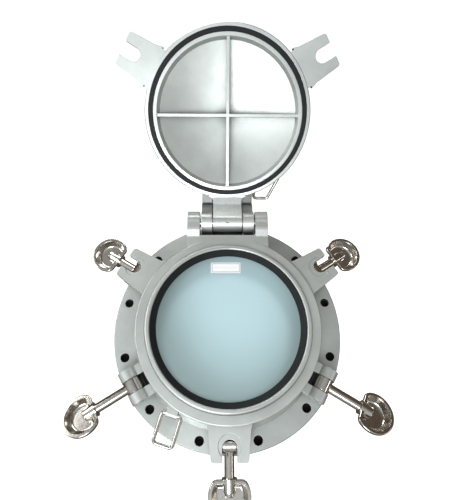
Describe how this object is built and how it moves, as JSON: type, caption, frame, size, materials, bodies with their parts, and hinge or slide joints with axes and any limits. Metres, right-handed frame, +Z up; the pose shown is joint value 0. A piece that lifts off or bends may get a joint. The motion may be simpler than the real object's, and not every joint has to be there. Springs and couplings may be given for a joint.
{
  "type": "opening porthole",
  "caption": "Round opening porthole with a bolted main frame, a hinged glass holder, a hinged domed deadlight and swing bolts with cupped ear nuts.",
  "frame": {"origin": "centre of the fixing bolt circle on the back face of the main frame's flange, where it meets the hull", "axes": "+Z up with the hinge at the top, -Y inboard towards the user, +X to the right seen from inboard"},
  "size_m": [0.5564, 0.3201, 0.786],
  "materials": {
    "cast_body": "satin",
    "machined": "brushed",
    "bright": "polished",
    "stainless": "brushed",
    "bronze": "plain",
    "seal_rubber": "matt",
    "pane": "clear",
    "label": "matt"
  },
  "bodies": {
    "frame": {"main_frame": "cast_body", "hinge_bush_left": "bronze", "hinge_bush_right": "bronze", "swing_bolt_pin_1": "stainless", "swing_bolt_pin_2": "stainless", "swing_bolt_pin_3": "stainless", "swing_bolt_pin_4": "stainless", "swing_bolt_pin_5": "stainless"},
    "glass_holder": {"glass_holder": "cast_body", "glass_holder_seal": "seal_rubber", "glass_pane": "pane", "glazing_seal": "seal_rubber", "bedding_gasket": "seal_rubber", "glass_keeper_ring": "machined", "keeper_ring_screws": "stainless", "pane_label": "label"},
    "deadlight": {"deadlight": "cast_body", "deadlight_gasket": "seal_rubber", "hinge_pin": "stainless", "hinge_lock_screw": "stainless"},
    "glass_holder_bail": {"glass_holder_bail": "stainless"},
    "deadlight_bail": {"deadlight_bail": "stainless"},
    "swing_bolt_1": {"swing_bolt_1": "bright"},
    "ear_nut_1": {"ear_nut_1": "bright"},
    "swing_bolt_2": {"swing_bolt_2": "bright"},
    "ear_nut_2": {"ear_nut_2": "bright"},
    "swing_bolt_3": {"swing_bolt_3": "bright"},
    "ear_nut_3": {"ear_nut_3": "bright"},
    "swing_bolt_4": {"swing_bolt_4": "bright"},
    "ear_nut_4": {"ear_nut_4": "bright"},
    "swing_bolt_5": {"swing_bolt_5": "bright"},
    "ear_nut_5": {"ear_nut_5": "bright"}
  },
  "joints": [
    {"name": "deadlight_hinge", "type": "hinge", "parent": "frame", "child": "deadlight", "pos_m": [0, -0.0635, 0.1955], "axis": [-1, 0, 0], "range_deg": [-142, 0]},
    {"name": "glass_holder_hinge", "type": "hinge", "parent": "frame", "child": "glass_holder", "pos_m": [0, -0.0635, 0.1955], "axis": [-1, 0, 0], "range_deg": [0, 120]},
    {"name": "swing_bolt_1_swing", "type": "hinge", "parent": "frame", "child": "swing_bolt_1", "pos_m": [0.16706, -0.033, 0.10439], "axis": [-0.5299, 0, 0.848], "range_deg": [-96, 2]},
    {"name": "ear_nut_1_spin", "type": "hinge", "parent": "swing_bolt_1", "child": "ear_nut_1", "pos_m": [0.2143, -0.02715, 0.13391], "axis": [0.8434, 0.1045, 0.527], "continuous": true},
    {"name": "swing_bolt_2_swing", "type": "hinge", "parent": "frame", "child": "swing_bolt_2", "pos_m": [-0.16706, -0.033, 0.10439], "axis": [-0.5299, 0, -0.848], "range_deg": [-96, 2]},
    {"name": "ear_nut_2_spin", "type": "hinge", "parent": "swing_bolt_2", "child": "ear_nut_2", "pos_m": [-0.2143, -0.02715, 0.13391], "axis": [-0.8434, 0.1045, 0.527], "continuous": true},
    {"name": "swing_bolt_3_swing", "type": "hinge", "parent": "frame", "child": "swing_bolt_3", "pos_m": [-0.16286, -0.033, -0.09786], "axis": [0.515, 0, -0.8572], "range_deg": [-90, 8]},
    {"name": "ear_nut_3_spin", "type": "hinge", "parent": "swing_bolt_3", "child": "ear_nut_3", "pos_m": [-0.23144, -0.033, -0.13906], "axis": [-0.8572, 0, -0.515], "continuous": true},
    {"name": "swing_bolt_4_swing", "type": "hinge", "parent": "frame", "child": "swing_bolt_4", "pos_m": [0, -0.033, -0.188], "axis": [1, 0, 0], "range_deg": [-92, 6]},
    {"name": "ear_nut_4_spin", "type": "hinge", "parent": "swing_bolt_4", "child": "ear_nut_4", "pos_m": [0, -0.03091, -0.24796], "axis": [0, 0.0349, -0.9994], "continuous": true},
    {"name": "swing_bolt_5_swing", "type": "hinge", "parent": "frame", "child": "swing_bolt_5", "pos_m": [0.16286, -0.033, -0.09786], "axis": [0.515, 0, 0.8572], "range_deg": [-90, 8]},
    {"name": "ear_nut_5_spin", "type": "hinge", "parent": "swing_bolt_5", "child": "ear_nut_5", "pos_m": [0.23144, -0.033, -0.13906], "axis": [0.8572, 0, -0.515], "continuous": true},
    {"name": "glass_holder_bail_swing", "type": "hinge", "parent": "glass_holder", "child": "glass_holder_bail", "pos_m": [-0.09204, -0.062, -0.14173], "axis": [-0.9537, 0, 0.3007], "range_deg": [-45, 95]},
    {"name": "deadlight_bail_swing", "type": "hinge", "parent": "deadlight", "child": "deadlight_bail", "pos_m": [0.081, -0.07836, 0.29493], "axis": [1, 0, 0], "range_deg": [0, 95]}
  ]
}
